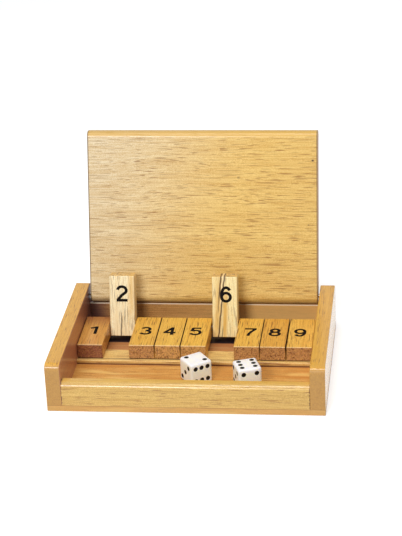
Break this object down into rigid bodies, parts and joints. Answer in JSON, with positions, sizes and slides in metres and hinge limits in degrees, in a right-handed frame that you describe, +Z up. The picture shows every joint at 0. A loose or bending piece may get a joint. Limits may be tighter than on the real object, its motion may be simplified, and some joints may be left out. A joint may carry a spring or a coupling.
{
  "type": "shut the box game",
  "caption": "Shallow wooden box with a row of numbered tiles that flip on one rod, two dice on the floor in front, and a solid lid that swings over on pins near the rear corners.",
  "frame": {"origin": "centre of the underside of the box", "axes": "+X to the right along the row of tiles, +Y to the rear where the lid's pins are, +Z up"},
  "size_m": [0.14, 0.1198, 0.1069],
  "materials": {
    "wall_wood": "satin sealed wood, warm honey brown",
    "board_wood": "satin sealed wood, warm honey brown",
    "rail_wood": "satin sealed wood",
    "lid_wood": "satin sealed pale wood",
    "tile_wood": "satin sealed pale wood, dark printed numbers",
    "die_plastic": "smooth white plastic with black painted pips",
    "steel": "plain drawn wire"
  },
  "bodies": {
    "box": {"base_board": "board_wood", "left_side_wall": "wall_wood", "right_side_wall": "wall_wood", "front_wall": "wall_wood", "back_wall": "wall_wood", "tile_rest_rail": "rail_wood", "tile_axle_rod": "steel", "lid_pivot_pin_left": "steel", "lid_pivot_pin_right": "steel"},
    "lid": {"lid": "lid_wood"},
    "tile_1": {"tile_1": "tile_wood"},
    "tile_2": {"tile_2": "tile_wood"},
    "tile_3": {"tile_3": "tile_wood"},
    "tile_4": {"tile_4": "tile_wood"},
    "tile_5": {"tile_5": "tile_wood"},
    "tile_6": {"tile_6": "tile_wood"},
    "tile_7": {"tile_7": "tile_wood"},
    "tile_8": {"tile_8": "tile_wood"},
    "tile_9": {"tile_9": "tile_wood"},
    "die_left": {"die_left": "die_plastic"},
    "die_right": {"die_right": "die_plastic"}
  },
  "joints": [
    {"name": "lid_hinge", "type": "hinge", "parent": "box", "child": "lid", "pos_m": [0, 0.0442, 0.0208], "axis": [-1, 0, 0], "range_deg": [-104.93, 0]},
    {"name": "tile_1_flip", "type": "hinge", "parent": "box", "child": "tile_1", "pos_m": [-0.05535, 0.0267, 0.0097], "axis": [-1, 0, 0], "range_deg": [0, 102.1]},
    {"name": "tile_2_flip", "type": "hinge", "parent": "box", "child": "tile_2", "pos_m": [-0.0418, 0.0267, 0.0097], "axis": [-1, 0, 0], "range_deg": [-102.1, 0]},
    {"name": "tile_3_flip", "type": "hinge", "parent": "box", "child": "tile_3", "pos_m": [-0.02825, 0.0267, 0.0097], "axis": [-1, 0, 0], "range_deg": [0, 102.1]},
    {"name": "tile_4_flip", "type": "hinge", "parent": "box", "child": "tile_4", "pos_m": [-0.0147, 0.0267, 0.0097], "axis": [-1, 0, 0], "range_deg": [0, 102.1]},
    {"name": "tile_5_flip", "type": "hinge", "parent": "box", "child": "tile_5", "pos_m": [-0.00115, 0.0267, 0.0097], "axis": [-1, 0, 0], "range_deg": [0, 102.1]},
    {"name": "tile_6_flip", "type": "hinge", "parent": "box", "child": "tile_6", "pos_m": [0.013, 0.0267, 0.0097], "axis": [-1, 0, 0], "range_deg": [-102.1, 0]},
    {"name": "tile_7_flip", "type": "hinge", "parent": "box", "child": "tile_7", "pos_m": [0.0266, 0.0267, 0.0097], "axis": [-1, 0, 0], "range_deg": [0, 102.1]},
    {"name": "tile_8_flip", "type": "hinge", "parent": "box", "child": "tile_8", "pos_m": [0.0401, 0.0267, 0.0097], "axis": [-1, 0, 0], "range_deg": [0, 102.1]},
    {"name": "tile_9_flip", "type": "hinge", "parent": "box", "child": "tile_9", "pos_m": [0.05385, 0.0267, 0.0097], "axis": [-1, 0, 0], "range_deg": [0, 102.1]},
    {"name": "die_left_lift", "type": "slide", "parent": "box", "child": "die_left", "axis": [0, 0, 1], "range_m": [0, 0.04]},
    {"name": "die_right_lift", "type": "slide", "parent": "box", "child": "die_right", "axis": [0, 0, 1], "range_m": [0, 0.04]}
  ],
  "couplings": [
    {"joint": "tile_2_flip", "follows": "lid_hinge", "ratio": 0.97305},
    {"joint": "tile_6_flip", "follows": "lid_hinge", "ratio": 0.97305}
  ]
}
